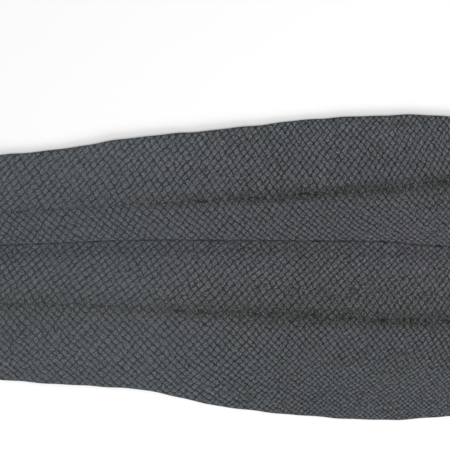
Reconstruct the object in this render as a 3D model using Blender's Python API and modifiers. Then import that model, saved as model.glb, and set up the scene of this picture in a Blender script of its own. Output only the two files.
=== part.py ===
"""Tanned salmon skin, whole: both flanks of the fish in one piece, opened along the belly.

Metres, +Z up. The skin lies grain side up with its flesh side on Z = 0, the head end at +X and the
tail end at -X. The origin is at the middle of its outline, on the surface that it lies on.
"""

import math

import bmesh
import bpy
import numpy as np
from mathutils import Vector

MM = 0.001

# The whole skin.
LENGTH = 602 * MM
THICKNESS = 1.2 * MM
BELLY_THICKNESS = 0.85 * MM

# Five lines run along the skin from tail to head. Each row has a place in X, then where the lines
# lie in Y, in mm: the lower flank's cut edge, its side line, the back, the upper flank's side line
# and the upper flank's cut edge.
STATIONS = (
    (-301, -35.5, -8.5, 14.0, 33.5, 51.5),
    (-278, -35.5, -9.5, 14.5, 33.5, 51.0),
    (-252, -41.0, -12.5, 15.0, 33.8, 54.5),
    (-203, -57.5, -18.0, 15.4, 35.0, 63.0),
    (-147, -71.5, -23.0, 15.5, 37.0, 72.0),
    (-91, -78.7, -25.7, 15.6, 38.7, 78.1),
    (-49, -82.0, -26.4, 17.0, 40.8, 82.6),
    (-14, -83.6, -27.5, 18.6, 43.3, 88.0),
    (14, -86.6, -29.0, 19.1, 44.7, 91.6),
    (49, -94.7, -30.6, 19.1, 46.8, 95.1),
    (91, -100.7, -32.4, 18.8, 48.7, 99.2),
    (133, -104.8, -34.4, 18.4, 51.3, 104.0),
    (175, -106.6, -36.6, 18.0, 54.8, 105.9),
    (210, -105.4, -37.1, 15.2, 59.0, 106.1),
    (245, -101.8, -36.7, 13.2, 61.0, 103.4),
    (273, -97.0, -36.4, 13.4, 61.3, 99.6),
    (301, -91.5, -36.2, 14.0, 61.8, 95.5),
)
# Where the five lines lie across the skin, as shares of a flank counted from the back.
SIDE_LINE = 0.4
LINE_SHARES = (-1.0, -SIDE_LINE, 0.0, SIDE_LINE, 1.0)

# The head end is cut round the gill openings: a nape between two hollows.
GILL_CUT = 28 * MM
NAPE_SHARE = 0.3
BELLY_POINT = 7 * MM
HEAD_CORNER = 16 * MM
TAIL_CORNER = 6 * MM
CORNER_SHARE = 0.14
TAIL_BOW = 3 * MM

# The knife wavers along the cut edges: wavelength, height and start of each wave.
EDGE_WAVES = ((97 * MM, 0.2 * MM, 0.4), (41 * MM, 0.18 * MM, 2.1), (23 * MM, 0.12 * MM, 4.0))

# The soft fold that runs beside the back, on the lower flank.
FOLD_HEIGHT = 2.2 * MM
FOLD_RISE = 13 * MM
FOLD_FALL = 28 * MM

# How far the edges and ends curl up from the surface below, and over what width.
UPPER_CURL, UPPER_CURL_WIDTH = 3.0 * MM, 32 * MM
LOWER_CURL, LOWER_CURL_WIDTH = 1.3 * MM, 26 * MM
END_CURL, END_CURL_WIDTH = 2.6 * MM, 38 * MM

# Low buckles: middle in X and Y, half length, half width and height, in mm.
BUCKLES = (
    (-175, 38, 62, 22, 1.2),
    (-62, -56, 66, 19, 1.0),
    (98, 72, 64, 19, 1.2),
    (188, -72, 56, 22, 1.3),
    (232, 36, 42, 22, 1.1),
)

# A furrow follows each side line and the back.
FURROW_DEPTH = 0.3 * MM
FURROW_SHARE = 0.022

# The sheet's mesh: rows across it, as shares of a flank, and columns along it.
FLANK_ROWS = (0.08, 0.16, 0.24, 0.32, SIDE_LINE - FURROW_SHARE)
BELLY_ROWS = (0.5, 0.59, 0.68, 0.77, 0.86, 0.93, 0.975, 1.0)
COLUMNS = 62
END_CROWDING = 0.5

GRAIN_COLOUR = (0.072, 0.080, 0.087, 1.0)
GRAIN_ROUGHNESS = 0.62


def smooth(value):
    """Ease from 0 to 1 as value goes from 0 to 1, level at both ends."""
    value = min(max(value, 0.0), 1.0)
    return value * value * (3.0 - 2.0 * value)


def line_at(x, line):
    """Y of one of the five lines at x: the cubic through its stations."""
    places = np.array([row[0] for row in STATIONS]) * MM
    heights = np.array([row[line + 1] for row in STATIONS]) * MM
    slopes = np.gradient(heights, places)
    left = int(np.clip(np.searchsorted(places, x) - 1, 0, len(places) - 2))
    span = places[left + 1] - places[left]
    t = (x - places[left]) / span
    return (
        heights[left] * (1 + 2 * t) * (1 - t) ** 2
        + heights[left + 1] * t * t * (3 - 2 * t)
        + slopes[left] * span * t * (1 - t) ** 2
        - slopes[left + 1] * span * t * t * (1 - t)
    )


def corner(share, radius):
    """How far a rounded corner draws an end back near the cut edges."""
    across = min(max((abs(share) - 1 + CORNER_SHARE) / CORNER_SHARE, 0.0), 1.0)
    return radius * (1 - math.sqrt(1 - across * across))


def head_end(share):
    """X of the head end: the nape's tip, less the gill cut on each side of it."""
    hollow = GILL_CUT * (1 - math.exp(-((share / NAPE_SHARE) ** 2)))
    point = BELLY_POINT * smooth((abs(share) - 0.45) / 0.5)
    return LENGTH / 2 - hollow + point - corner(share, HEAD_CORNER)


def tail_end(share):
    """X of the tail end: a nearly straight cut with small round corners."""
    return -LENGTH / 2 + TAIL_BOW * share * share + corner(share, TAIL_CORNER)


def knife(x, share):
    """The cut edge's waver, which dies out away from the edge."""
    waver = sum(h * math.sin(math.tau * x / length + start + share) for length, h, start in EDGE_WAVES)
    return waver * abs(share) ** 12


def place(column, share):
    """X and Y of a point: along between the two ends, and across between the five lines."""
    along = column / COLUMNS
    along -= END_CROWDING * math.sin(math.tau * along) / math.tau
    x = tail_end(share) + (head_end(share) - tail_end(share)) * along
    y = float(np.interp(share, LINE_SHARES, [line_at(x, line) for line in range(5)]))
    return x, y + knife(x, share)


def fold_height(x, y):
    """The fold's height: up from the back's crease, then slowly down the lower flank."""
    below = line_at(x, 2) - y
    strength = smooth((x + 235 * MM) / (110 * MM)) * (1 - 0.4 * smooth((x - 60 * MM) / (150 * MM)))
    fall = 1 - smooth((below - FOLD_RISE) / FOLD_FALL)
    return FOLD_HEIGHT * strength * smooth(below / FOLD_RISE) * fall


def edge_curl(x, y):
    """The cut edges' lift, which comes and goes along the skin."""
    from_upper = line_at(x, 4) - y
    from_lower = y - line_at(x, 0)
    upper_swell = 1 + 0.1 * math.sin(x / (30 * MM) + 0.6) + 0.06 * math.sin(x / (13 * MM) + 2.0)
    lower_swell = 1 + 0.25 * math.sin(x / (24 * MM) + 2.2)
    upper = UPPER_CURL * upper_swell * (1 - smooth(from_upper / UPPER_CURL_WIDTH))
    lower = LOWER_CURL * lower_swell * (1 - smooth(from_lower / LOWER_CURL_WIDTH))
    return upper + lower


def end_curl(x, share):
    """The lift of the tail and head ends."""
    from_end = min(x - tail_end(share), head_end(share) - x)
    return END_CURL * (1 - smooth(from_end / END_CURL_WIDTH))


def buckle_height(x, y):
    """The sum of the low oval buckles, each of which ends on its own oval."""
    total = 0.0
    for middle_x, middle_y, half_length, half_width, height in BUCKLES:
        out = ((x / MM - middle_x) / half_length) ** 2 + ((y / MM - middle_y) / half_width) ** 2
        total += height * MM * max(1 - out, 0.0) ** 2
    return total


def flesh_side(x, y, share):
    """Height of the skin's underside: 0 where it lies flat."""
    return fold_height(x, y) + edge_curl(x, y) + end_curl(x, share) + buckle_height(x, y)


def substance(share):
    """The skin's thickness as a share of the full one: thinner to the belly and in the furrows."""
    thin = 1 - BELLY_THICKNESS / THICKNESS
    value = 1 - thin * smooth((abs(share) - 0.5) / 0.5)
    if min(abs(share), abs(abs(share) - SIDE_LINE)) < FURROW_SHARE / 2:
        value -= FURROW_DEPTH / THICKNESS
    return value


def row_shares():
    """Shares of the mesh's rows, from the lower flank's cut edge to the upper flank's."""
    half = [FURROW_SHARE, *FLANK_ROWS, SIDE_LINE, SIDE_LINE + FURROW_SHARE, *BELLY_ROWS]
    return [-share for share in reversed(half)] + [0.0] + half


def leather_material():
    """Dyed grain leather: charcoal, matt."""
    material = bpy.data.materials.new("charcoal fish leather")
    material.use_nodes = True
    shader = material.node_tree.nodes["Principled BSDF"]
    shader.inputs["Base Color"].default_value = GRAIN_COLOUR
    shader.inputs["Roughness"].default_value = GRAIN_ROUGHNESS
    shader.inputs["Metallic"].default_value = 0.0
    return material


def make_skin(collection):
    """The skin: a grid laid out between its five lines, given its thickness by Solidify."""
    shares = row_shares()
    sheet = bmesh.new()
    bmesh.ops.create_grid(sheet, x_segments=COLUMNS, y_segments=len(shares) - 1, size=1.0)
    weights = []
    for vert in sheet.verts:
        column = round((vert.co.x + 1) / 2 * COLUMNS)
        share = shares[round((vert.co.y + 1) / 2 * (len(shares) - 1))]
        x, y = place(column, share)
        vert.co = Vector((x, y, flesh_side(x, y, share)))
        weights.append(substance(share))

    mesh = bpy.data.meshes.new("salmon_skin")
    sheet.to_mesh(mesh)
    sheet.free()
    mesh.shade_smooth()
    mesh.materials.append(leather_material())
    skin = bpy.data.objects.new("salmon_skin", mesh)
    collection.objects.link(skin)

    group = skin.vertex_groups.new(name="substance")
    for index, weight in enumerate(weights):
        group.add([index], weight, "REPLACE")
    solidify = skin.modifiers.new("thickness", "SOLIDIFY")
    solidify.thickness = THICKNESS
    solidify.offset = 1.0
    solidify.vertex_group = group.name
    return skin


def main():
    for old in list(bpy.data.objects):
        bpy.data.objects.remove(old)
    collection = bpy.data.collections.new("tanned salmon skin")
    bpy.context.scene.collection.children.link(collection)
    make_skin(collection)


main()
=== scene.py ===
"""Looks of a tanned salmon skin: one sheet of charcoal fish leather, lying grain side up."""

import math

import bpy
import numpy as np
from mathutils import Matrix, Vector


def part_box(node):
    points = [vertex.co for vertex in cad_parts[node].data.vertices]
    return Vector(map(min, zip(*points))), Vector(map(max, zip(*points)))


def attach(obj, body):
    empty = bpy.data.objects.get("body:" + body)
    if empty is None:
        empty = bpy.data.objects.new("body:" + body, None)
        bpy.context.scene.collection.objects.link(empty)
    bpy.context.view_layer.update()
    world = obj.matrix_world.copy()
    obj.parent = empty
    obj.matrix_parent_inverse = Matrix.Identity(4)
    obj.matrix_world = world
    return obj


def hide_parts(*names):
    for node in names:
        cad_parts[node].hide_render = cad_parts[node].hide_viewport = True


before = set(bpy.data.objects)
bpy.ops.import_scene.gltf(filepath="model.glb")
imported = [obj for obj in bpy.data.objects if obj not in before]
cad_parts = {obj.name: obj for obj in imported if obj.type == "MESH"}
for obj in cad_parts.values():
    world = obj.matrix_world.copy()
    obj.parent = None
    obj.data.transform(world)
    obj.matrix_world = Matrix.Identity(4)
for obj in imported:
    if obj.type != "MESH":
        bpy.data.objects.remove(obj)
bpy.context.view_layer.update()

# The viewpoint. The skin is photographed from straight above with a long lens, close enough that
# both of its ends run out of the picture.
MM = 0.001
PICTURE_WIDTH = 315 * MM
PICTURE_MIDDLE = (66.5 * MM, 29.5 * MM)
LENS = 135.0
SENSOR = 36.0

camera = bpy.data.objects.new("camera", bpy.data.cameras.new("camera"))
camera.data.lens = LENS
camera.data.sensor_width = SENSOR
camera.data.clip_start = 0.05
camera.data.clip_end = 20.0
camera.location = (*PICTURE_MIDDLE, PICTURE_WIDTH * LENS / SENSOR)
bpy.context.scene.collection.objects.link(camera)
bpy.context.scene.camera = camera

# How the skin lies. It is one whole skin, both flanks, opened along the belly and tanned flat. Five
# lines run along it: a cut edge, a side line, the back, a side line and a cut edge.
skin_low, skin_high = (np.array(corner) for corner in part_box("salmon_skin"))
LENGTH = skin_high[0] - skin_low[0]
THICKNESS, BELLY_THICKNESS, THINS_FROM = 1.2 * MM, 0.85 * MM, 0.5
# Each row has a place in X, then where the five lines lie in Y there.
STATIONS = np.array((
    (-301, -35.5, -8.5, 14.0, 33.5, 51.5),
    (-278, -35.5, -9.5, 14.5, 33.5, 51.0),
    (-252, -41.0, -12.5, 15.0, 33.8, 54.5),
    (-203, -57.5, -18.0, 15.4, 35.0, 63.0),
    (-147, -71.5, -23.0, 15.5, 37.0, 72.0),
    (-91, -78.7, -25.7, 15.6, 38.7, 78.1),
    (-49, -82.0, -26.4, 17.0, 40.8, 82.6),
    (-14, -83.6, -27.5, 18.6, 43.3, 88.0),
    (14, -86.6, -29.0, 19.1, 44.7, 91.6),
    (49, -94.7, -30.6, 19.1, 46.8, 95.1),
    (91, -100.7, -32.4, 18.8, 48.7, 99.2),
    (133, -104.8, -34.4, 18.4, 51.3, 104.0),
    (175, -106.6, -36.6, 18.0, 54.8, 105.9),
    (210, -105.4, -37.1, 15.2, 59.0, 106.1),
    (245, -101.8, -36.7, 13.2, 61.0, 103.4),
    (273, -97.0, -36.4, 13.4, 61.3, 99.6),
    (301, -91.5, -36.2, 14.0, 61.8, 95.5),
)) * MM
LOWER_EDGE, LOWER_SIDE, BACK, UPPER_SIDE, UPPER_EDGE = range(5)
# A share is a place across the skin: 0 on the back, 1 on the upper cut edge, -1 on the lower.
SIDE_SHARE = 0.4
LINE_SHARES = np.array((-1.0, -SIDE_SHARE, 0.0, SIDE_SHARE, 1.0))

# The head end is cut round the gill openings, a nape between two hollows, and the tail end nearly
# straight. The knife wavers along both cut edges: wavelength, height and start of each wave.
GILL_CUT = 28 * MM
NAPE_SHARE = 0.3
BELLY_POINT, POINT_FROM, POINT_SPAN = 7 * MM, 0.45, 0.5
HEAD_CORNER = 16 * MM
TAIL_CORNER = 6 * MM
CORNER_SHARE = 0.14
TAIL_BOW = 3 * MM
EDGE_WAVES = ((97 * MM, 0.2 * MM, 0.4), (41 * MM, 0.18 * MM, 2.1), (23 * MM, 0.12 * MM, 4.0))

# A soft fold runs beside the back on the lower flank: it grows from the tail and is lower by the
# head. The edges and ends curl up, and each edge's curl swells and sinks along the skin: share of
# the curl, length and start of each swell.
FOLD_HEIGHT = 2.2 * MM
FOLD_RISE = 13 * MM
FOLD_FALL = 28 * MM
FOLD_FROM, FOLD_GROWTH = -235 * MM, 110 * MM
FOLD_SINKS_FROM, FOLD_SINKING, FOLD_SINKS_BY = 60 * MM, 150 * MM, 0.4
UPPER_CURL, UPPER_CURL_WIDTH = 3.0 * MM, 32 * MM
LOWER_CURL, LOWER_CURL_WIDTH = 1.3 * MM, 26 * MM
END_CURL, END_CURL_WIDTH = 2.6 * MM, 38 * MM
UPPER_SWELLS = ((0.1, 30 * MM, 0.6), (0.06, 13 * MM, 2.0))
LOWER_SWELLS = ((0.25, 24 * MM, 2.2),)
# Low oval buckles: middle in X and Y, half length, half width and height, in mm.
BUCKLES = (
    (-175, 38, 62, 22, 1.2),
    (-62, -56, 66, 19, 1.0),
    (98, 72, 64, 19, 1.2),
    (188, -72, 56, 22, 1.3),
    (232, 36, 42, 22, 1.1),
)
# A furrow follows each side line, and a shallower one the back: depth, and half width as a share.
FURROW_DEPTH, FURROW_SHARE = 0.3 * MM, 0.022
BACK_FURROW_DEPTH, BACK_FURROW_SHARE = 0.15 * MM, 0.01


def ease(value):
    """0 below 0, 1 above 1, and the cubic 3v^2 - 2v^3 between them."""
    value = np.clip(value, 0.0, 1.0)
    return value * value * (3.0 - 2.0 * value)


def line_y(x, line):
    """Y of one of the five lines: the cubic through its stations, with slopes from their neighbours."""
    places, heights = STATIONS[:, 0], STATIONS[:, line + 1]
    slopes = np.gradient(heights, places)
    left = np.clip(np.searchsorted(places, x) - 1, 0, len(places) - 2)
    span = places[left + 1] - places[left]
    t = np.clip((x - places[left]) / span, -1.0, 2.0)
    return (
        heights[left] * (1 + 2 * t) * (1 - t) ** 2
        + heights[left + 1] * t * t * (3 - 2 * t)
        + slopes[left] * span * t * (1 - t) ** 2
        - slopes[left + 1] * span * t * t * (1 - t)
    )


def skin_y(x, share):
    """Y of a point across the skin: in proportion between two of the five lines, plus the knife's
    waver, three sine waves that die out with the 12th power of the share."""
    lines = np.stack([line_y(x, line) for line in range(5)])
    band = np.clip(np.searchsorted(LINE_SHARES, share) - 1, 0, 3)
    part = (share - LINE_SHARES[band]) / (LINE_SHARES[band + 1] - LINE_SHARES[band])
    below = np.take_along_axis(lines, band[None], 0)[0]
    above = np.take_along_axis(lines, band[None] + 1, 0)[0]
    waver = sum(h * np.sin(math.tau * x / length + start + share) for length, h, start in EDGE_WAVES)
    return below + (above - below) * part + waver * np.abs(share) ** 12


def corner_cut(share, radius):
    """How far a rounded corner draws an end back: radius times 1 - sqrt(1 - c^2) near the edge."""
    across = np.clip((np.abs(share) - 1 + CORNER_SHARE) / CORNER_SHARE, 0.0, 1.0)
    return radius * (1 - np.sqrt(1 - across * across))


def head_x(share):
    """X of the head end: the nape's tip, less a bell-shaped gill cut on each side of it, plus a
    point that eases in towards the cut edges, less their round corners."""
    hollow = GILL_CUT * (1 - np.exp(-((share / NAPE_SHARE) ** 2)))
    point = BELLY_POINT * ease((np.abs(share) - POINT_FROM) / POINT_SPAN)
    return LENGTH / 2 - hollow + point - corner_cut(share, HEAD_CORNER)


def tail_x(share):
    """X of the tail end: a shallow parabola with round corners."""
    return -LENGTH / 2 + TAIL_BOW * share * share + corner_cut(share, TAIL_CORNER)


def flesh_z(x, y, share):
    """Height of the flesh side over the table: the fold beside the back, the curl of each edge and
    end, and five oval buckles of height (1 - r^2)^2."""
    below_back = line_y(x, BACK) - y
    strength = ease((x - FOLD_FROM) / FOLD_GROWTH)
    strength = strength * (1 - FOLD_SINKS_BY * ease((x - FOLD_SINKS_FROM) / FOLD_SINKING))
    fall = 1 - ease((below_back - FOLD_RISE) / FOLD_FALL)
    height = FOLD_HEIGHT * strength * ease(below_back / FOLD_RISE) * fall

    upper_swell = sum((part * np.sin(x / length + start) for part, length, start in UPPER_SWELLS), 1)
    lower_swell = sum((part * np.sin(x / length + start) for part, length, start in LOWER_SWELLS), 1)
    from_upper = (line_y(x, UPPER_EDGE) - y) / UPPER_CURL_WIDTH
    from_lower = (y - line_y(x, LOWER_EDGE)) / LOWER_CURL_WIDTH
    from_end = np.minimum(x - tail_x(share), head_x(share) - x) / END_CURL_WIDTH
    height += UPPER_CURL * upper_swell * (1 - ease(from_upper))
    height += LOWER_CURL * lower_swell * (1 - ease(from_lower))
    height += END_CURL * (1 - ease(from_end))

    for middle_x, middle_y, half_length, half_width, rise in BUCKLES:
        out = ((x / MM - middle_x) / half_length) ** 2 + ((y / MM - middle_y) / half_width) ** 2
        height += rise * MM * np.maximum(1 - out, 0.0) ** 2
    return height


def leather_thickness(share):
    """Full beside the back, eased thinner from half way to the belly, less an eased furrow along the
    back and each side line."""
    thinner = ease((np.abs(share) - THINS_FROM) / (1 - THINS_FROM))
    thickness = THICKNESS - (THICKNESS - BELLY_THICKNESS) * thinner
    furrows = FURROW_DEPTH * (1 - ease(np.abs(np.abs(share) - SIDE_SHARE) / FURROW_SHARE))
    furrows += BACK_FURROW_DEPTH * (1 - ease(np.abs(share) / BACK_FURROW_SHARE))
    return thickness - furrows


# The scale pockets. Tanning takes the scales out and leaves their pockets: rows of raised pads
# parted by fine grooves, each lifted a little at its tail end, where the scale stood free.
SEED = 41

# Their pitch along the skin, at places from tail to head, and the spacing of their rows, at shares
# of a flank from the back to the cut edge, for the tail end, the middle and the head end. The
# middle's spacing gives way to each end's from a place on and over a length.
COLUMN_PLACES = np.array((-301, -196, -60, 20, 104, 160, 207, 301)) * MM
COLUMN_PITCH = np.array((4.55, 5.2, 5.7, 5.5, 4.95, 4.85, 4.6, 4.3)) * MM
ROW_SHARES = (0.0, 0.07, 0.2, 0.3, 0.4, 0.55, 0.65, 0.75, 0.85, 1.0)
TAIL_ROWS = np.full(10, 2.55) * MM
UPPER_MIDDLE_ROWS = np.array((2.7, 3.0, 3.05, 3.2, 3.3, 3.35, 3.4, 3.35, 3.3, 3.2)) * MM
LOWER_MIDDLE_ROWS = np.array((2.5, 3.1, 3.2, 3.25, 3.05, 3.1, 3.1, 2.9, 2.65, 2.5)) * MM
UPPER_HEAD_ROWS = np.array((1.85, 1.85, 2.3, 2.8, 3.0, 3.45, 3.1, 2.9, 2.8, 2.6)) * MM
LOWER_HEAD_ROWS = np.array((2.1, 2.4, 2.9, 3.4, 2.75, 2.65, 2.25, 1.65, 1.6, 1.5)) * MM
TAIL_ROWS_FROM, TAIL_ROWS_OVER = -147 * MM, 150 * MM
HEAD_ROWS_FROM, HEAD_ROWS_OVER = -4 * MM, 190 * MM

# How far columns lean along the skin for each step across it, and how much the head end's belly
# draws them together. Columns and rows wander: height and length of each wander.
TAIL_LEAN, HEAD_LEAN, LOWER_BELLY_LEAN = 0.25, 0.05, 0.05
HEAD_LEAN_FROM, HEAD_LEAN_OVER = -60 * MM, 230 * MM
UPPER_BELLY_DRAW, LOWER_BELLY_DRAW, BELLY_DRAW_FROM = 0.06, 0.16, 100 * MM
COLUMN_WANDERS = ((0.9 * MM, 21 * MM), (0.5 * MM, 9 * MM))
ROW_WANDERS = ((0.8 * MM, 24 * MM), (0.4 * MM, 8 * MM))

# The relief is measured from the bottom of a plain groove. Crossings lie lower and faint grooves
# higher: one family of grooves is faint on the flanks, the other on the tail's belly. A side
# line's pads have a low rim round a pore, and the head end's fine pockets have less of it all.
POCKET_RELIEF = 0.36 * MM
RIM_RISE, RIM_TILT, TOP_RISE = 0.22 * MM, 0.09 * MM, 0.33 * MM
CROSSING_DROP = 0.08 * MM
FAINT_GROOVE = 0.07 * MM
FAINT_UNTIL, FAINT_OVER, FAINT_ACROSS = -20 * MM, 80 * MM, 0.15
SIDE_LINE_RIM, PORE_DEPTH = 0.8, 0.2 * MM
FULL_SPACING, LEAST_RELIEF = 3 * MM, 0.6
FINE_FROM, FINE_OVER = 60 * MM, 150 * MM
EDGE_DROP, EDGE_INSET = 0.22 * MM, 0.25 * MM
CREASE_SHARE = 0.003

# A pad's width as a share of its cell's, and how far crossings and pads stray from even places and
# pads differ in size, height and tilt. Crossings stray less over a stretch from the middle on.
PAD_SIDE, PAD_CORNER = 0.76, 0.62
CROSSING_STRAY, HEAD_CROSSING_STRAY, PAD_STRAY = 0.48 * MM, 0.32 * MM, 0.12 * MM
STRAYS_LESS_OVER = 120 * MM
SIZE_SPREAD, RISE_SPREAD, TILT_SPREAD = 0.06, 0.22, 0.1


def wander(x, y, cell, seed):
    """Smooth random field from -1 to 1: values on a square grid of cells, which repeats, eased
    between each cell's corners."""
    grid, start = 64, 1000
    values = np.random.default_rng(seed).uniform(-1.0, 1.0, (grid, grid))
    column, row = x / cell + start, y / cell + start
    left, low = np.floor(column).astype(int), np.floor(row).astype(int)
    across, up = ease(column - left), ease(row - low)
    left, right, low, high = left % grid, (left + 1) % grid, low % grid, (low + 1) % grid
    bottom = values[left, low] * (1 - across) + values[right, low] * across
    top = values[left, high] * (1 - across) + values[right, high] * across
    return bottom * (1 - up) + top * up


def column_x(columns):
    """X of half-columns: each is half a pitch on, so their count is the integral of 2 / pitch."""
    x = np.linspace(-LENGTH / 2 - 40 * MM, LENGTH / 2 + 60 * MM, 2000)
    pitch = np.interp(x, COLUMN_PLACES, COLUMN_PITCH)
    count = np.cumsum(2 / pitch) * (x[1] - x[0])
    return np.interp(columns, count, x)


def row_share(side):
    """A lookup of shares for a flank's rows, counted from its side line. At each station along the
    skin, the count is the integral of width over row spacing, turned round by interpolation. The
    lookup reaches a little past the skin on every side."""
    stations = np.linspace(-LENGTH / 2 - 10 * MM, LENGTH / 2 + 10 * MM, 160)
    shares = np.linspace(-0.2, 1.25, 800)
    rows = np.arange(-40, 60, 0.25)
    middle_rows = UPPER_MIDDLE_ROWS if side > 0 else LOWER_MIDDLE_ROWS
    head_rows = UPPER_HEAD_ROWS if side > 0 else LOWER_HEAD_ROWS
    edge = UPPER_EDGE if side > 0 else LOWER_EDGE
    side_line = UPPER_SIDE if side > 0 else LOWER_SIDE
    inner = np.abs(line_y(stations, side_line) - line_y(stations, BACK)) / SIDE_SHARE
    outer = np.abs(line_y(stations, edge) - line_y(stations, side_line)) / (1 - SIDE_SHARE)
    lookup = []
    for x, inner_width, outer_width in zip(stations, inner, outer):
        to_head = ease((x - HEAD_ROWS_FROM) / HEAD_ROWS_OVER)
        to_tail = ease((TAIL_ROWS_FROM - x) / TAIL_ROWS_OVER)
        spacing = middle_rows + (head_rows - middle_rows) * to_head + (TAIL_ROWS - middle_rows) * to_tail
        width = np.where(shares < SIDE_SHARE, inner_width, outer_width)
        count = np.cumsum(width / np.interp(shares, ROW_SHARES, spacing)) * (shares[1] - shares[0])
        count -= np.interp(SIDE_SHARE, shares, count)
        lookup.append(np.interp(rows, count, shares))
    lookup = np.array(lookup)

    def read(x, row):
        """The lookup's value between its four nearest entries."""
        along = np.clip((x - stations[0]) / (stations[1] - stations[0]), 0, len(stations) - 1.001)
        across = np.clip((row - rows[0]) / (rows[1] - rows[0]), 0, len(rows) - 1.001)
        a, b = along.astype(int), across.astype(int)
        u, v = along - a, across - b
        near = lookup[a, b] * (1 - v) + lookup[a, b + 1] * v
        far = lookup[a + 1, b] * (1 - v) + lookup[a + 1, b + 1] * v
        return near * (1 - u) + far * u

    return read


def pocket_places(side, columns, rows):
    """X and share of lattice points. Columns lean tailwards from the back to the side line, headwards
    again to the belly, and are drawn together at the head end's belly; then the whole wanders. How
    far a column leans depends on where it ends up, so four rounds settle it."""
    share_of = row_share(side)
    straight = column_x(columns)
    x = straight.copy()
    for _ in range(4):
        share = share_of(x, rows)
        inner = np.abs(line_y(x, UPPER_SIDE if side > 0 else LOWER_SIDE) - line_y(x, BACK))
        outer = np.abs(line_y(x, UPPER_EDGE if side > 0 else LOWER_EDGE) - line_y(x, BACK)) - inner
        to_head = ease((x - HEAD_LEAN_FROM) / HEAD_LEAN_OVER)
        lean = TAIL_LEAN + (HEAD_LEAN - TAIL_LEAN) * to_head
        belly_lean = lean if side > 0 else np.minimum(lean, LOWER_BELLY_LEAN)
        in_flank = np.clip(share / SIDE_SHARE, 0, 1) * inner
        in_belly = np.clip((share - SIDE_SHARE) / (1 - SIDE_SHARE), 0, 1.2) * outer
        draw = UPPER_BELLY_DRAW if side > 0 else LOWER_BELLY_DRAW
        draw = draw * np.maximum(straight - BELLY_DRAW_FROM, 0) * ease(in_belly / outer)
        x = straight - lean * in_flank + belly_lean * in_belly - draw
    y = skin_y(x, side * share)
    (wide, wide_cell), (small, small_cell) = COLUMN_WANDERS
    x = x + wide * wander(x, y, wide_cell, SEED) + small * wander(x, y, small_cell, SEED + 1)
    (wide, wide_cell), (small, small_cell) = ROW_WANDERS
    drift = wide * wander(x, y, wide_cell, SEED + 2) + small * wander(x, y, small_cell, SEED + 3)
    share = share + drift / (inner / SIDE_SHARE)
    return x, share


# One pocket's 17 points, numbered by hundredths of a cell along its two diagonals: eight on the
# grooves round it, eight on the pad's rim and one on top. The first of each eight is the tail end.
# Of the eight on the grooves, every other one is a crossing.
OUTLINE = np.array(((-1, -1), (0, -1), (1, -1), (1, 0), (1, 1), (0, 1), (-1, 1), (-1, 0)))
HUNDREDTHS = 100
POCKET_POINTS = np.concatenate([OUTLINE * 50, OUTLINE * 33, [(0, 0)]])
ON_GROOVES, ON_RIM, ON_TOP = slice(0, 8), slice(8, 16), 16
CROSSINGS, GROOVE_MIDDLES = slice(0, 8, 2), slice(1, 8, 2)
LEAD_GROOVES = (3, 7)
PAD_SIZES = np.tile((PAD_CORNER, PAD_SIDE), 4)
POCKET_FACES = np.array(
    [(k, (k + 1) % 8, 8 + (k + 1) % 8, 8 + k) for k in range(8)]
    + [(15, 8, 9, 16), (9, 10, 11, 16), (11, 12, 13, 16), (13, 14, 15, 16)]
)


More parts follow.
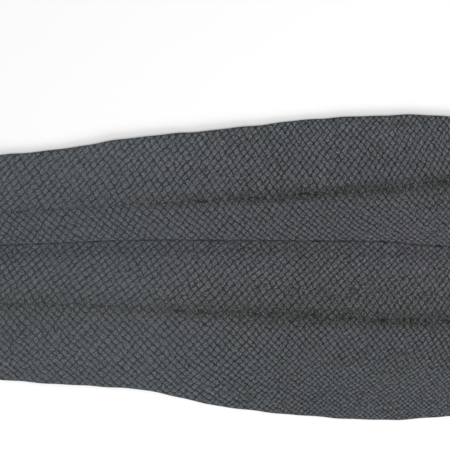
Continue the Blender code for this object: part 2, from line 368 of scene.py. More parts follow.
def flank(side):
    """One flank's grain side: its points, their pattern, its faces, and which points are on the back.

    Each cell of the diagonal lattice holds a pocket. The crossings of the grooves stray at random, a
    groove's middle goes half way with each end, and a pad is its outline drawn in to its middle.
    Points outside the skin are drawn to its edge, and faces that lie wholly there are dropped."""
    # More half-columns and rows than the skin has, of which the cells on it or just past it stay.
    columns, rows = np.meshgrid(np.arange(-12, 340), np.arange(-26, 54))
    held = (columns + rows) % 2 == 0
    columns, rows = columns[held], rows[held]
    x, share = pocket_places(side, columns.astype(float), rows.astype(float))
    near = (share > -0.06) & (share < 1.08) & (x > tail_x(1.0) - 14 * MM) & (x < LENGTH / 2 + 8 * MM)
    near &= (x > tail_x(share) - 8 * MM) & (x < head_x(np.clip(share, -1, 1)) + 8 * MM)
    cells = np.stack([(columns + rows) // 2, (columns - rows) // 2], 1)[near]

    # Neighbours share the points on their grooves: the same key is the same point.
    keys = cells[:, None] * HUNDREDTHS + POCKET_POINTS[None]
    keys, index = np.unique(keys.reshape(-1, 2), axis=0, return_inverse=True)
    index = index.reshape(len(cells), len(POCKET_POINTS))
    kind = np.empty(len(keys), int)
    kind[index] = np.arange(len(POCKET_POINTS))
    owner = np.empty(len(keys), int)
    owner[index] = np.arange(len(cells))[:, None]
    on_pad = kind >= ON_RIM.start
    spot = keys / HUNDREDTHS
    spot[index[:, ON_RIM]] = cells[:, None] + OUTLINE[None] * PAD_SIZES[None, :, None] / 2

    chance = np.random.default_rng(SEED + (10 if side > 0 else 20))
    x, share = pocket_places(side, spot.sum(1), spot[:, 0] - spot[:, 1])
    width = np.abs(line_y(x, UPPER_EDGE if side > 0 else LOWER_EDGE) - line_y(x, BACK))
    on_back, at_edge = share <= CREASE_SHARE, share >= 1
    inside = np.clip(share, CREASE_SHARE, 1.0)
    at_tail, at_head = x <= tail_x(side * inside), x >= head_x(side * inside)
    drawn = on_back | at_edge | at_tail | at_head

    # The strays are lengths, so places across are turned to lengths, and back to shares after.
    even = np.stack([x, share * width], 1)
    stray = chance.normal(0.0, CROSSING_STRAY, (len(keys), 2))
    stray *= 1 + (HEAD_CROSSING_STRAY / CROSSING_STRAY - 1) * ease(x / STRAYS_LESS_OVER)[:, None]
    ends, middles = stray[index[:, CROSSINGS]], stray[index[:, GROOVE_MIDDLES]]
    stray[index[:, GROOVE_MIDDLES]] = (ends + np.roll(ends, -1, axis=1) + middles) / 2
    size = PAD_SIZES[None, :, None] * chance.normal(1.0, SIZE_SPREAD, (len(cells), 1, 1))
    shift = chance.normal(0.0, PAD_STRAY, (len(cells), 1, 2))
    spread = even + stray
    around = spread[index[:, ON_GROOVES]]
    middle = around.mean(1, keepdims=True)
    spread[index[:, ON_RIM]] = middle + (around - middle) * size + shift
    spread[index[:, ON_TOP]] = (middle + shift)[:, 0]
    x, share = np.where(drawn[:, None], even, spread).T
    share = np.clip(share / width, CREASE_SHARE + EDGE_INSET / width, 1 - EDGE_INSET / width)
    share = np.where(on_back, CREASE_SHARE, np.where(at_edge, 1.0, share))
    x = np.clip(x, tail_x(side * share) + EDGE_INSET, head_x(side * share) - EDGE_INSET)
    x = np.where(at_tail, tail_x(side * share), np.where(at_head, head_x(side * share), x))

    # The relief, as a rise over the bottom of a plain groove.
    out = spot - cells[owner]
    pad_rise = chance.normal(1.0, RISE_SPREAD, len(cells))[owner]
    pad_tilt = chance.normal(0.0, TILT_SPREAD, (len(cells), 2))[owner]
    in_side_line = cells[owner, 0] == cells[owner, 1]
    rise = np.where(kind == ON_TOP, TOP_RISE, RIM_RISE - RIM_TILT * out.sum(1) / PAD_SIDE)
    rise = rise * pad_rise + (out * pad_tilt).sum(1) * MM
    side_line_rise = np.where(kind == ON_TOP, RIM_RISE - PORE_DEPTH, rise * SIDE_LINE_RIM)
    rise = np.where(in_side_line, side_line_rise, rise)
    belly = ease((share - SIDE_SHARE) / FAINT_ACROSS + 0.5)
    tail_belly = belly * (1 - ease((x - FAINT_UNTIL) / FAINT_OVER))
    shallow = FAINT_GROOVE * np.where(np.isin(kind, LEAD_GROOVES), tail_belly, 1 - belly)
    rise = np.where(on_pad, rise, np.where(kind % 2 == 0, -CROSSING_DROP, shallow))
    fine = np.interp(share, ROW_SHARES, UPPER_HEAD_ROWS if side > 0 else LOWER_HEAD_ROWS)
    fine = np.clip(fine / FULL_SPACING, LEAST_RELIEF, 1.0)
    fine = 1 + (fine - 1) * ease((x - FINE_FROM) / FINE_OVER)
    rise = np.where(on_back, -CROSSING_DROP, rise * fine)
    rise = np.where(drawn & ~on_back, -EDGE_DROP, rise)

    y = skin_y(x, side * share)
    z = flesh_z(x, y, side * share) + leather_thickness(share) - POCKET_RELIEF + rise
    points = np.stack([x, y, z], 1)
    pattern = np.stack([spot[:, 0], spot[:, 1], side * share], 1)

    faces = index[:, POCKET_FACES].reshape(-1, 4)
    faces = faces[~drawn[faces].all(1)]
    if side > 0:
        faces = faces[:, ::-1]
    kept, faces = np.unique(faces, return_inverse=True)
    faces = faces.reshape(-1, 4)
    return points[kept], pattern[kept], faces, on_back[kept]


def border_loop(faces, count):
    """The border's vertices in order: edges used one way only, with each vertex's steps to the
    loop's first one counted by doubling the stride until it covers the loop."""
    starts = faces.reshape(-1)
    ends = np.roll(faces, -1, axis=1).reshape(-1)
    one_way = ~np.isin(starts * count + ends, ends * count + starts)
    order = np.argsort(starts[one_way])
    names, ends = starts[one_way][order], ends[one_way][order]
    follower = np.searchsorted(names, ends)
    steps = np.ones(len(names), int)
    steps[0], follower[0] = 0, 0
    for _ in range(int(math.log2(len(names))) + 1):
        steps = steps + steps[follower]
        follower = follower[follower]
    return names[np.argsort(-steps)]


def split_border(loop, on_back):
    """A flank's border as two chains that share their end points: outside, and along the back."""
    back = on_back[loop]
    leaves = int(np.flatnonzero(back & ~np.roll(back, -1))[0])
    loop = np.roll(loop, -leaves)
    outside = int((~on_back[loop]).sum())
    return loop[: outside + 2], np.append(loop[outside + 1:], loop[0])


def lace(first, first_place, second, second_place):
    """Triangles between two chains that run side by side: each edge of one joins the last point
    that the other has reached there."""
    reached = np.clip(np.searchsorted(second_place, first_place[1:], side="left") - 1, 0, None)
    one = np.stack([first[:-1], first[1:], second[reached]], 1)
    reached = np.clip(np.searchsorted(first_place, second_place[1:], side="right") - 1, 0, None)
    other = np.stack([second[:-1], first[reached], second[1:]], 1)
    return np.concatenate([one, other])


def in_turn(places, step):
    """Places sorted, then spread out so that each is at least a step past the one before."""
    count = np.arange(len(places)) * step
    return np.maximum.accumulate(np.sort(places) - count) + count


def round_the_skin(along, across):
    """Place round the outline from 0 to 4, anticlockwise from the tail end's middle, for points
    on it: along goes 0 to 1 from tail to head, across -1 to 1 from lower to upper edge."""
    edge = np.where(across < 0, along, 3 - along)
    end = np.where(along < 0.5, 3.5 - across / 2, 1.5 + across / 2)
    return (np.where(np.abs(across) > 1 - 1e-6, edge, end) + 0.5) % 4


def outline_point(place):
    """X and share of a place round the outline: round_the_skin turned about."""
    turn = (place - 0.5) % 4
    share = np.interp(turn, (0, 1, 2, 3, 4), (-1, -1, 1, 1, -1))
    along = np.interp(turn, (0, 1, 2, 3, 4), (0, 1, 1, 0, 0))
    return tail_x(share) + (head_x(share) - tail_x(share)) * along, share


upper_points, upper_pattern, upper_faces, upper_on_back = flank(1)
lower_points, lower_pattern, lower_faces, lower_on_back = flank(-1)
upper_outside, upper_back = split_border(border_loop(upper_faces, len(upper_points)), upper_on_back)
lower_outside, lower_back = split_border(border_loop(lower_faces, len(lower_points)), lower_on_back)

grain_points = np.concatenate([lower_points, upper_points])
grain_pattern = np.concatenate([lower_pattern, upper_pattern])
upper_back = upper_back + len(lower_points)
lower_back = lower_back[::-1]
outside = np.concatenate([lower_outside, upper_outside + len(lower_points)])

# The points on the outline and along the back are put in turn, so that none doubles back.
LEAST_TURN, LEAST_STEP = 1e-4, 0.02 * MM
edge_x, edge_share = grain_points[outside, 0], grain_pattern[outside, 2]
edge_along = (edge_x - tail_x(edge_share)) / (head_x(edge_share) - tail_x(edge_share))
edge_places = in_turn(round_the_skin(edge_along, edge_share), LEAST_TURN)
edge_x, edge_share = outline_point(edge_places)
edge_y = skin_y(edge_x, edge_share)
edge_flesh = flesh_z(edge_x, edge_y, edge_share)
edge_top = edge_flesh + leather_thickness(edge_share) - POCKET_RELIEF - EDGE_DROP
grain_points[outside] = np.stack([edge_x, edge_y, edge_top], 1)
grain_pattern[outside, 2] = edge_share
for back, side in ((lower_back, -1), (upper_back, 1)):
    back_x = in_turn(grain_points[back[1:-1], 0], LEAST_STEP)
    back_y = skin_y(back_x, np.full(len(back_x), side * CREASE_SHARE))
    grain_points[back[1:-1], 0] = back_x
    grain_points[back[1:-1], 1] = back_y
crease = lace(lower_back, grain_points[lower_back, 0], upper_back, grain_points[upper_back, 0])

# The flesh side and the cut edge. The flesh side is smooth suede, so a plain grid carries it; a
# strip joins the grid to the foot of the wall that the knife left all round the grain side.
FLESH_COLUMNS, FLESH_ROWS = 76, 53
FLESH_INSET_ALONG, FLESH_INSET_ACROSS = 0.004, 0.03


def flesh_grid():
    """Points and quads of the flesh side, and its border from the tail end's middle, with places."""
    along, across = np.meshgrid(np.linspace(0, 1, FLESH_COLUMNS), np.linspace(-1, 1, FLESH_ROWS))
    share = across * (1 - FLESH_INSET_ACROSS)
    part = FLESH_INSET_ALONG + along * (1 - 2 * FLESH_INSET_ALONG)
    x = tail_x(share) + (head_x(share) - tail_x(share)) * part
    shape = x.shape
    x, share = x.reshape(-1), share.reshape(-1)
    y = skin_y(x, share)
    points = np.stack([x, y, flesh_z(x, y, share)], 1)
    names = np.arange(len(x)).reshape(shape)
    quads = np.stack([names[:-1, :-1], names[1:, :-1], names[1:, 1:], names[:-1, 1:]], -1)
    middle = FLESH_ROWS // 2
    border = np.concatenate([
        names[middle::-1, 0], names[0, 1:], names[1:, -1], names[-1, -2::-1], names[-2:middle - 1:-1, 0],
    ])
    places = round_the_skin(along.reshape(-1)[border], across.reshape(-1)[border])
    places[-1] = 4.0
    return points, quads.reshape(-1, 4), border, places


foot_points = np.stack([edge_x, edge_y, edge_flesh], 1)
foot = len(grain_points) + np.arange(len(outside))
wall = np.stack([outside, foot, np.roll(foot, -1), np.roll(outside, -1)], 1)

flesh_points, flesh_quads, flesh_border, flesh_places = flesh_grid()
flesh_start = len(grain_points) + len(foot_points)
hem = lace(
    np.append(foot, foot[0]), np.append(edge_places, 4.0), flesh_border + flesh_start, flesh_places,
)

points = np.concatenate([grain_points, foot_points, flesh_points])
quads = np.concatenate([lower_faces, upper_faces + len(lower_points), wall, flesh_quads + flesh_start])
triangles = np.concatenate([crease, hem[:, ::-1]])
skin_mesh = bpy.data.meshes.new("fish_leather")
skin_mesh.from_pydata(points, [], quads.tolist() + triangles.tolist())
finish_of = np.concatenate([
    np.zeros(len(lower_faces) + len(upper_faces)),
    np.ones(len(wall)),
    np.full(len(flesh_quads), 2),
    np.zeros(len(crease)),
    np.full(len(hem), 2),
]).astype(np.int32)
skin_mesh.polygons.foreach_set("material_index", finish_of)
plain_pattern = np.zeros((len(foot_points) + len(flesh_points), 3))
pattern = skin_mesh.attributes.new("pocket", "FLOAT_VECTOR", "POINT")
whole_pattern = np.concatenate([grain_pattern, plain_pattern]).astype(np.float32)
pattern.data.foreach_set("vector", whole_pattern.reshape(-1))
# The knife's corners stay sharp, and the slopes of the pads are smooth.
SHARP_ANGLE = math.radians(50)
skin_mesh.shade_smooth()
skin_mesh.set_sharp_from_angle(angle=SHARP_ANGLE)
skin = bpy.data.objects.new("fish_leather", skin_mesh)
bpy.context.scene.collection.objects.link(skin)

# The finish of the grain side. Drum-dyed fish leather, left matt: the pads take the finish and the
# rubbing, so they are paler than the grooves between them, which are dark with dye and painted shade.
COOL_PAD, WARM_PAD, OLIVE_PAD, GROOVE_DYE_AND_SHADE = "#454a4e", "#494a50", "#474a47", "#0a0b0c"

# The leather's own grain is about 0.3 mm across and the wrinkles on a pad about 0.7 mm. Both are
# too fine to show, so they are drawn coarser.
GRAIN_SIZE, PEBBLE_SIZE = 1.0 * MM, 1.5 * MM

# Grooves are ragged and creases wisp over less than a pocket, grooves fade over half a pocket, and
# a side line's dye comes and goes over two. The drum left broader clouds of tone and of hue.
GROOVE_RAG, CREASE_WISP = 1.3 * MM, 2.2 * MM
FADE_PATCH, LINE_PATCH = 2.2 * MM, 9 * MM
DYE_CLOUD, HUE_CLOUD = 60 * MM, 36 * MM

# Over this stretch the thin tail end's look gives way to the thicker head end's.
HEAD_LOOK_FROM, HEAD_LOOK_BY = -30 * MM, 130 * MM


def linear(colour):
    """An sRGB hex colour as linear values."""
    channels = np.array([int(colour[k:k + 2], 16) for k in (1, 3, 5)]) / 255
    curve = np.where(channels <= 0.04045, channels / 12.92, ((channels + 0.055) / 1.055) ** 2.4)
    return (*curve.tolist(), 1.0)


def add_node(tree, kind, inputs=None, **settings):
    """Add a node with its settings; inputs hold values, sockets, or nodes for their first output."""
    node = tree.nodes.new(kind)
    for name, value in settings.items():
        setattr(node, name, value)
    for name, value in (inputs or {}).items():
        if isinstance(value, bpy.types.Node):
            value = next(socket for socket in value.outputs if socket.enabled)
        if isinstance(value, bpy.types.NodeSocket):
            tree.links.new(value, node.inputs[name])
        else:
            node.inputs[name].default_value = value
    return node


def grain_leather():
    """Dyed fish leather, its pattern drawn from the pocket attribute: each point's place in the
    lattice of pockets, whole numbers at the pads' middles and halves on the grooves, and its share
    across the skin. A map range reads the span of its sockets 1 and 2, 0 to 1 if they aren't set,
    and gives what sockets 3 and 4 hold at its ends."""
    material = bpy.data.materials.new("dyed_fish_leather")
    material.use_nodes = True
    tree = material.node_tree
    shader = tree.nodes["Principled BSDF"]
    MATH, VECTOR, RANGE = "ShaderNodeMath", "ShaderNodeVectorMath", "ShaderNodeMapRange"
    NOISE, SPLIT, MIX = "ShaderNodeTexNoise", "ShaderNodeSeparateXYZ", "ShaderNodeMix"
    SOFT = {"interpolation_type": "SMOOTHSTEP"}

    place = add_node(tree, "ShaderNodeTexCoord").outputs["Object"]
    along = add_node(tree, SPLIT, {0: place}).outputs[0]
    to_head = add_node(tree, RANGE, {0: along, 1: HEAD_LOOK_FROM, 2: HEAD_LOOK_BY}, **SOFT)
    pocket = add_node(tree, "ShaderNodeAttribute", attribute_name="pocket").outputs["Vector"]
    lead_place, lag_place, share = add_node(tree, SPLIT, {0: pocket}).outputs
    from_back = add_node(tree, MATH, {0: share}, operation="ABSOLUTE")

    # How far a point is from its pad's middle along the lattice's two diagonals, lead and lag. The
    # grooves are ragged, and less so among the fine pockets of the head end's lower belly.
    ragged = add_node(tree, NOISE, {"Vector": place, "Scale": 1 / GROOVE_RAG, "Detail": 2.0})
    ragged = add_node(tree, VECTOR, {0: ragged.outputs["Color"], 1: (0.5, 0.5, 0.5)}, operation="SUBTRACT")
    low_belly = add_node(tree, RANGE, {0: share, 1: -0.5, 2: -0.8}, **SOFT)
    low_belly = add_node(tree, MATH, {0: low_belly, 1: to_head}, operation="MULTIPLY")
    ragged_by = add_node(tree, RANGE, {0: low_belly, 3: 0.36, 4: 0.24})
    ragged = add_node(tree, VECTOR, {0: ragged, "Scale": ragged_by}, operation="SCALE")
    spot = add_node(tree, VECTOR, {0: ragged, 1: (1.0, 1.0, 0.0), 2: pocket}, operation="MULTIPLY_ADD")
    spot = add_node(tree, SPLIT, {0: spot})
    lead = add_node(tree, MATH, {0: spot.outputs[0], 1: 0.5, 2: -0.5}, operation="WRAP")
    lag = add_node(tree, MATH, {0: spot.outputs[1], 1: 0.5, 2: -0.5}, operation="WRAP")
    from_lead = add_node(tree, MATH, {0: lead}, operation="ABSOLUTE")
    from_lag = add_node(tree, MATH, {0: lag}, operation="ABSOLUTE")

    # Of the two families of grooves, one is the wider on the flanks and the other on the belly, and
    # chance makes them a little wider or finer round each pocket.
    belly = add_node(tree, RANGE, {0: from_back, 1: 0.33, 2: 0.47}, **SOFT)
    belly_lead = add_node(tree, RANGE, {0: to_head, 3: 0.93, 4: 0.97})
    lead_width = add_node(tree, RANGE, {0: belly, 3: 1.0, 4: belly_lead})
    lag_width = add_node(tree, RANGE, {0: belly, 3: 0.95, 4: 1.0})
    lag_width = add_node(tree, RANGE, {0: low_belly, 3: lag_width, 4: 0.97})
    cell = add_node(tree, VECTOR, {0: pocket, 1: (0.5, 0.5, 0.0)}, operation="ADD")
    cell = add_node(tree, VECTOR, {0: cell}, operation="FLOOR")
    chance = add_node(tree, "ShaderNodeTexWhiteNoise", {"Vector": cell})
    squash = add_node(tree, SPLIT, {0: chance.outputs["Color"]}).outputs
    squash_lead = add_node(tree, RANGE, {0: squash[0], 3: 0.95, 4: 1.04})
    squash_lag = add_node(tree, RANGE, {0: squash[1], 3: 0.95, 4: 1.04})
    lead_width = add_node(tree, MATH, {0: lead_width, 1: squash_lead}, operation="MULTIPLY")
    lag_width = add_node(tree, MATH, {0: lag_width, 1: squash_lag}, operation="MULTIPLY")
    wide_lead = add_node(tree, MATH, {0: from_lead, 1: lead_width}, operation="MULTIPLY")
    wide_lag = add_node(tree, MATH, {0: from_lag, 1: lag_width}, operation="MULTIPLY")

    # The grooves are painted dark, for their dye and for the shade that falls in them, deeper toward the
    # head, and they fade in patches. They are filled where they cross, the more so toward the tail,
    # because a pad's corners are round and shallow there.
    rounding = add_node(tree, RANGE, {0: to_head, 3: 0.46, 4: 0.44})
    out = add_node(tree, MATH, {0: wide_lead, 1: wide_lag, 2: rounding}, operation="SMOOTH_MAX")
    groove_depth = add_node(tree, RANGE, {0: to_head, 3: 0.87, 4: 1.0})
    groove_start = add_node(tree, RANGE, {0: to_head, 3: 0.4, 4: 0.415})
    groove_dye_and_shade = add_node(tree, RANGE, {0: out, 1: groove_start, 2: 0.452, 4: groove_depth}, **SOFT)
    fade = add_node(tree, NOISE, {"Vector": place, "Scale": 1 / FADE_PATCH, "Detail": 2.0})
    fade = add_node(tree, RANGE, {0: fade, 1: 0.4, 2: 0.62, 3: 1.06, 4: 0.62})
    groove_dye_and_shade = add_node(tree, MATH, {0: groove_dye_and_shade, 1: fade}, operation="MULTIPLY", use_clamp=True)
    crossing = add_node(tree, MATH, {0: from_lead, 1: from_lag}, operation="MINIMUM")
    crossing_fill = add_node(tree, RANGE, {0: to_head, 3: 0.45, 4: 0.88})
    crossing = add_node(tree, RANGE, {0: crossing, 1: 0.32, 2: 0.44, 3: 1.0, 4: crossing_fill}, **SOFT)
    groove_dye_and_shade = add_node(tree, MATH, {0: groove_dye_and_shade, 1: crossing}, operation="MULTIPLY")

    # A pad is palest toward the tail, where its rim stands highest: rubbed there, and with a painted
    # highlight. Painted shade darkens its foot and a painted highlight its crown, and it is a little
    # darker again in its middle, inside the rim.
    # Painted shade at the pad's foot, painted highlight on its crown.
    foot = add_node(tree, RANGE, {0: to_head, 3: 0.86, 4: 0.74})
    crown_highlight = add_node(tree, RANGE, {0: to_head, 3: 1.1, 4: 1.23})
    pad_highlight_and_shade = add_node(tree, RANGE, {0: out, 1: 0.46, 2: 0.26, 3: foot, 4: crown_highlight}, **SOFT)
    worn = add_node(tree, RANGE, {0: out, 1: 0.34, 2: 0.1, 3: 1.04, 4: 0.93})
    # Paler toward the tail end of each pad: rubbing, and a painted highlight on the raised rim.
    ahead = add_node(tree, MATH, {0: lead, 1: lag}, operation="ADD")
    rim_rubbing_and_highlight = add_node(tree, RANGE, {0: ahead, 1: -0.55, 2: 0.65, 3: 1.18, 4: 0.82})

    # Each pocket took the dye a little differently. The belly is paler than the leather by the back, and
    # the head end much darker than the tail end. The grain speckles it finely, and its fine wrinkles carry
    # painted highlights and shade.
    uneven = add_node(tree, RANGE, {0: chance.outputs["Value"], 3: 0.93, 4: 1.07})
    cloud = add_node(tree, NOISE, {"Vector": place, "Scale": 1 / DYE_CLOUD, "Detail": 3.0})
    cloud = add_node(tree, RANGE, {0: cloud, 1: 0.3, 2: 0.7, 3: 0.96, 4: 1.04})
    grain = add_node(tree, NOISE, {"Vector": place, "Scale": 1 / GRAIN_SIZE, "Detail": 0.5})
    speckle_low = add_node(tree, RANGE, {0: to_head, 3: 0.5, 4: 0.2})
    speckle_high = add_node(tree, RANGE, {0: to_head, 3: 1.5, 4: 1.8})
    speckle = add_node(tree, RANGE, {0: grain, 1: 0.25, 2: 0.75, 3: speckle_low, 4: speckle_high})
    # The grain's fine wrinkles: a painted highlight on each pebble's top and painted shade between them;
    # the same field makes their bump.
    pebble = add_node(tree, "ShaderNodeTexVoronoi", {"Vector": place, "Scale": 1 / PEBBLE_SIZE})
    pebble_relief_and_shade = add_node(tree, RANGE, {0: pebble.outputs["Distance"], 1: 0.1, 2: 0.7, 3: 1.1, 4: 0.87})
    belly_paler = add_node(tree, RANGE, {0: from_back, 1: 0.45, 2: 0.95, 3: 1.0, 4: 1.1})
    head_darker = add_node(tree, RANGE, {0: share, 1: -0.1, 2: 0.1, 3: 0.785, 4: 0.81})
    head_darker = add_node(tree, RANGE, {0: to_head, 3: 1.01, 4: head_darker})
    tone = pad_highlight_and_shade
    for factor in (worn, rim_rubbing_and_highlight, uneven, cloud, speckle, pebble_relief_and_shade, belly_paler, head_darker):
        tone = add_node(tree, MATH, {0: tone, 1: factor}, operation="MULTIPLY")

    # The side line: a row of pores, so the dye sank in deeper and more olive there, in patches. On
    # the lower flank toward the head it sank in a little deeper beside the line too.
    from_line = add_node(tree, MATH, {0: from_back, 1: SIDE_SHARE}, operation="SUBTRACT")
    from_line = add_node(tree, MATH, {0: from_line}, operation="ABSOLUTE")
    patch = add_node(tree, NOISE, {"Vector": place, "Scale": 1 / LINE_PATCH, "Detail": 2.0})
    patch = add_node(tree, RANGE, {0: patch, 1: 0.36, 2: 0.64})
    faint = add_node(tree, RANGE, {0: share, 1: -0.1, 2: 0.1, 3: 0.4, 4: 0.2})
    line_strength = add_node(tree, RANGE, {0: to_head, 3: faint, 4: 1.0})
    band = add_node(tree, RANGE, {0: from_line, 1: 0.1, 2: 0.0}, **SOFT)
    band = add_node(tree, MATH, {0: band, 1: line_strength}, operation="MULTIPLY")
    beside = add_node(tree, RANGE, {0: share, 1: -0.12, 2: -0.3}, **SOFT)
    below = add_node(tree, RANGE, {0: share, 1: -0.48, 2: -0.4, 4: 0.3}, **SOFT)
    beside = add_node(tree, MATH, {0: beside, 1: below}, operation="MULTIPLY")
    beside = add_node(tree, MATH, {0: beside, 1: to_head}, operation="MULTIPLY")
    band = add_node(tree, MATH, {0: band, 1: beside}, operation="MAXIMUM")
    sunk = add_node(tree, RANGE, {0: band, 3: 1.0, 4: 0.75})
    tone = add_node(tree, MATH, {0: tone, 1: sunk}, operation="MULTIPLY")
    olive = add_node(tree, RANGE, {0: patch, 3: 0.45, 4: 1.15})
    olive = add_node(tree, MATH, {0: band, 1: olive}, operation="MULTIPLY", use_clamp=True)

    # The dye is cool, and a trace warmer in clouds toward the head, but not on the lower belly.
    hue = add_node(tree, NOISE, {"Vector": place, "Scale": 1 / HUE_CLOUD, "Detail": 2.0})
    hue = add_node(tree, RANGE, {0: hue, 1: 0.4, 2: 0.6, 3: 0.35, 4: 1.1})
    warm = add_node(tree, RANGE, {0: share, 1: 0.95, 2: 0.7}, **SOFT)
    cool = add_node(tree, RANGE, {0: share, 1: -0.62, 2: -0.46}, **SOFT)
    warm = add_node(tree, MATH, {0: warm, 1: cool}, operation="MULTIPLY")
    warm = add_node(tree, MATH, {0: warm, 1: to_head}, operation="MULTIPLY")
    warm = add_node(tree, MATH, {0: warm, 1: hue}, operation="MULTIPLY")
    colour = add_node(tree, MIX, {0: warm, 6: linear(COOL_PAD), 7: linear(WARM_PAD)}, data_type="RGBA")
    colour = add_node(tree, MIX, {0: olive, 6: colour, 7: linear(OLIVE_PAD)}, data_type="RGBA")
    colour = add_node(tree, VECTOR, {0: colour, "Scale": tone}, operation="SCALE")

    # A broken crease runs along each side line and, toward the head, small ones run across it, one
    # to each pocket, darkened with painted shade. Sums and differences of the lattice places count the
    # columns and rows.
    wisp = add_node(tree, NOISE, {"Vector": place, "Scale": 1 / CREASE_WISP, "Detail": 2.0})
    wisp = add_node(tree, MATH, {0: wisp, 1: 0.5}, operation="SUBTRACT")
    row = add_node(tree, MATH, {0: lead_place, 1: lag_place}, operation="SUBTRACT")
    row = add_node(tree, MATH, {0: wisp, 1: 1.6, 2: row}, operation="MULTIPLY_ADD")
    row = add_node(tree, MATH, {0: row}, operation="ABSOLUTE")
    crease = add_node(tree, RANGE, {0: row, 1: 0.28, 2: 0.1}, **SOFT)
    column = add_node(tree, MATH, {0: lead_place, 1: lag_place}, operation="ADD")
    column = add_node(tree, MATH, {0: wisp, 1: 1.2, 2: column}, operation="MULTIPLY_ADD")
    column = add_node(tree, MATH, {0: column, 1: 2.0, 2: 0.0}, operation="WRAP")
    column = add_node(tree, MATH, {0: column, 1: 1.0}, operation="SUBTRACT")
    column = add_node(tree, MATH, {0: column}, operation="ABSOLUTE")
    across = add_node(tree, RANGE, {0: column, 1: 0.3, 2: 0.1}, **SOFT)
    near_line = add_node(tree, RANGE, {0: row, 1: 1.9, 2: 1.1}, **SOFT)
    across = add_node(tree, MATH, {0: across, 1: near_line}, operation="MULTIPLY")
    across = add_node(tree, MATH, {0: across, 1: to_head}, operation="MULTIPLY")
    creases = add_node(tree, MATH, {0: crease, 1: across}, operation="MAXIMUM")
    creases = add_node(tree, MATH, {0: creases, 1: patch}, operation="MULTIPLY")
    crease_depth = add_node(tree, RANGE, {0: to_head, 3: 0.7, 4: 1.0})
    creases = add_node(tree, MATH, {0: creases, 1: crease_depth}, operation="MULTIPLY")

    # The back has one fine broken crease from head to tail, darkened with painted shade, and the side
    # lines flecks of deep dye.
    waver = add_node(tree, MATH, {0: wisp, 1: 0.02, 2: from_back}, operation="MULTIPLY_ADD")
    spine = add_node(tree, RANGE, {0: waver, 1: 0.006, 2: 0.004}, **SOFT)
    spine_strength = add_node(tree, RANGE, {0: patch, 3: 0.45, 4: 1.0})
    spine_faint = add_node(tree, RANGE, {0: to_head, 3: 0.8, 4: 1.0})
    spine_strength = add_node(tree, MATH, {0: spine_strength, 1: spine_faint}, operation="MULTIPLY")
    spine = add_node(tree, MATH, {0: spine, 1: spine_strength}, operation="MULTIPLY")
    fleck = add_node(tree, RANGE, {0: grain, 1: 0.44, 2: 0.34})
    fleck = add_node(tree, MATH, {0: fleck, 1: band}, operation="MULTIPLY")
    # Painted shade in the grooves and creases, with the dye of the grooves and flecks, all mix toward the
    # groove colour.
    dark = groove_dye_and_shade
    for line in (creases, spine, fleck):
        dark = add_node(tree, MATH, {0: dark, 1: line}, operation="MAXIMUM")
    colour = add_node(tree, MIX, {0: dark, 6: colour, 7: linear(GROOVE_DYE_AND_SHADE)}, data_type="RGBA")
    tree.links.new(colour.outputs[2], shader.inputs["Base Color"])

    # The finish gives the pads a faint sheen and leaves the grooves dull. The bump is their wrinkles
    # and grain, with the creases pressed in.
    rough = add_node(tree, RANGE, {0: dark, 3: 0.6, 4: 0.85})
    tree.links.new(rough.outputs[0], shader.inputs["Roughness"])
    shader.inputs["IOR"].default_value = 1.45
    shader.inputs["Specular IOR Level"].default_value = 0.4

    height = add_node(tree, MATH, {0: pebble_relief_and_shade, 1: grain}, operation="ADD")
    height = add_node(tree, MATH, {0: height, 1: creases}, operation="SUBTRACT")
    bump = add_node(tree, "ShaderNodeBump", {"Strength": 0.7, "Distance": 0.15 * MM, "Height": height})
    tree.links.new(bump.outputs[0], shader.inputs["Normal"])
    return material


# The finish of the cut edge: the knife's cut through the sheet, matt, fibrous and dyed right through.
# Leather's fibre bundles are about 0.1 mm thick, too fine to show, so they are drawn coarser.
CUT_DARK, CUT_PALE = "#232628", "#43474a"
FIBRE_SIZE = 0.4 * MM


def cut_edge():
    """Raw dyed leather: a fine noise drives its tone and its bump together."""
    material = bpy.data.materials.new("cut_leather_edge")
    material.use_nodes = True
    tree = material.node_tree
    shader = tree.nodes["Principled BSDF"]
    place = add_node(tree, "ShaderNodeTexCoord").outputs["Object"]
    fibre = add_node(tree, "ShaderNodeTexNoise", {"Vector": place, "Scale": 1 / FIBRE_SIZE, "Detail": 4.0})
    inputs = {0: fibre, 6: linear(CUT_DARK), 7: linear(CUT_PALE)}
    colour = add_node(tree, "ShaderNodeMix", inputs, data_type="RGBA")
    tree.links.new(colour.outputs[2], shader.inputs["Base Color"])
    bump = add_node(tree, "ShaderNodeBump", {"Distance": 0.2 * MM, "Height": fibre})
    tree.links.new(bump.outputs[0], shader.inputs["Normal"])
    shader.inputs["Roughness"].default_value = 0.9
    return material


# The finish of the flesh side: shaved and buffed to a short suede nap, dull and a shade paler than
# the grain, in soft clouds. A real nap is about 0.2 mm, too fine to show, so it is drawn coarser.
SUEDE_DARK, SUEDE_PALE = "#3d4042", "#5d6062"
SUEDE_CLOUD, NAP_SIZE = 30 * MM, 0.8 * MM


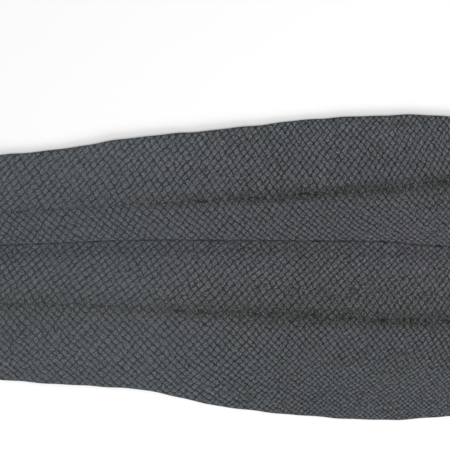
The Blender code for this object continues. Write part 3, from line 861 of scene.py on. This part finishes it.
def flesh_suede():
    """Dyed suede: the sum of a broad and a fine noise drives its tone, the fine one its bump."""
    material = bpy.data.materials.new("dyed_suede")
    material.use_nodes = True
    tree = material.node_tree
    shader = tree.nodes["Principled BSDF"]
    place = add_node(tree, "ShaderNodeTexCoord").outputs["Object"]
    cloud = add_node(tree, "ShaderNodeTexNoise", {"Vector": place, "Scale": 1 / SUEDE_CLOUD, "Detail": 6.0})
    nap = add_node(tree, "ShaderNodeTexNoise", {"Vector": place, "Scale": 1 / NAP_SIZE, "Detail": 3.0})
    both = add_node(tree, "ShaderNodeMath", {0: cloud, 1: nap}, operation="ADD")
    tone = add_node(tree, "ShaderNodeMapRange", {0: both, 1: 0.7, 2: 1.3})
    inputs = {0: tone, 6: linear(SUEDE_DARK), 7: linear(SUEDE_PALE)}
    colour = add_node(tree, "ShaderNodeMix", inputs, data_type="RGBA")
    tree.links.new(colour.outputs[2], shader.inputs["Base Color"])
    bump = add_node(tree, "ShaderNodeBump", {"Distance": 0.3 * MM, "Height": nap})
    tree.links.new(bump.outputs[0], shader.inputs["Normal"])
    shader.inputs["Roughness"].default_value = 1.0
    shader.inputs["Sheen Weight"].default_value = 0.3
    return material


for finish in (grain_leather(), cut_edge(), flesh_suede()):
    skin_mesh.materials.append(finish)
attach(skin, "root")
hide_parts("salmon_skin")

# The flat area is the width between the two cut edges, summed along the skin, less the gill cuts
# and the round corners.
SHARE_LEFT_BY_THE_CUTS = 0.97
widths = STATIONS[:, UPPER_EDGE + 1] - STATIONS[:, LOWER_EDGE + 1]
flat_area = float(np.sum((widths[1:] + widths[:-1]) / 2 * np.diff(STATIONS[:, 0])))
flat_area = flat_area * SHARE_LEFT_BY_THE_CUTS

# The table: a plain white paper sweep. The light is soft: a pale room, a large softbox almost
# straight above, and a smaller one low beyond the lower flank, toward the head end.
PAPER_COLOUR = "#f4f4f4"
ROOM_LIGHT = 0.48
FLOOR_HALF = 3.0
floor_mesh = bpy.data.meshes.new("floor")
corners = np.array(((-1, -1, 0), (1, -1, 0), (1, 1, 0), (-1, 1, 0))) * FLOOR_HALF
floor_mesh.from_pydata(corners, [], [(0, 1, 2, 3)])
floor = bpy.data.objects.new("floor", floor_mesh)
bpy.context.scene.collection.objects.link(floor)
floor_finish = bpy.data.materials.new("white_paper")
floor_finish.use_nodes = True
floor_shader = floor_finish.node_tree.nodes["Principled BSDF"]
floor_shader.inputs["Base Color"].default_value = linear(PAPER_COLOUR)
floor_shader.inputs["Roughness"].default_value = 0.9
floor_mesh.materials.append(floor_finish)

world = bpy.data.worlds.new("pale room")
world.use_nodes = True
world.node_tree.nodes["Background"].inputs["Color"].default_value = (1.0, 1.0, 1.0, 1.0)
world.node_tree.nodes["Background"].inputs["Strength"].default_value = ROOM_LIGHT
bpy.context.scene.world = world


def add_softbox(name, size, place, power):
    """A square soft light at a place over the table, turned to face the skin's middle."""
    light = bpy.data.lights.new(name, "AREA")
    light.size = size
    light.energy = power
    softbox = bpy.data.objects.new(name, light)
    softbox.location = place
    softbox.rotation_euler = (-Vector(place)).to_track_quat("-Z", "Y").to_euler()
    bpy.context.scene.collection.objects.link(softbox)


add_softbox("top_softbox", size=1.2, place=(0.4, -0.15, 2.2), power=23.5)
add_softbox("side_softbox", size=0.85, place=(1.01, -1.45, 0.94), power=19.5)

bpy.context.scene.view_settings.view_transform = "Standard"
